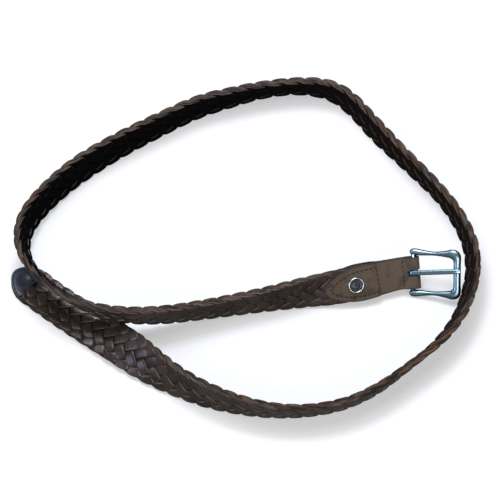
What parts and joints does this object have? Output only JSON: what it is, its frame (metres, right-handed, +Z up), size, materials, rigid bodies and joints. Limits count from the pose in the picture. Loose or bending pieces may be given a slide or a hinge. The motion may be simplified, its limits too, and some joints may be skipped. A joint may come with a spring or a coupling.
{
  "type": "braided belt",
  "caption": "Braided leather belt with a waisted pin buckle sewn into a folded chape with a snap, lying on its edge in a loose loop with its rounded leather tip tucked under.",
  "frame": {"origin": "centre of the footprint on the surface the belt lies on", "axes": "+X across the loop towards the buckle's front bar, +Y away from the side with the tip, +Z up"},
  "size_m": [0.3132, 0.272, 0.0362],
  "materials": {
    "braid_leather": "satin, oiled",
    "tip_leather": "polished",
    "chape_leather": "nubuck",
    "snap_metal": "polished",
    "snap_enamel": "dark enamel",
    "cast_metal": "polished, darkened in the hollows"
  },
  "bodies": {
    "strap": {"braid": "braid_leather", "tip": "tip_leather", "chape": "chape_leather", "snap_rim": "snap_metal", "snap_centre": "snap_enamel", "snap_back": "snap_metal"},
    "frame": {"buckle_frame": "cast_metal"},
    "pin": {"prong": "cast_metal"}
  },
  "joints": [
    {"name": "frame_hinge", "type": "hinge", "parent": "strap", "child": "frame", "pos_m": [0.11185, -0.01946, 0.01197], "axis": [-0.0053, -0.7093, -0.7049], "range_deg": [-20, 10]},
    {"name": "prong_hinge", "type": "hinge", "parent": "frame", "child": "pin", "pos_m": [0.11185, -0.01946, 0.01197], "axis": [-0.0053, -0.7093, -0.7049], "range_deg": [0, 55]}
  ]
}
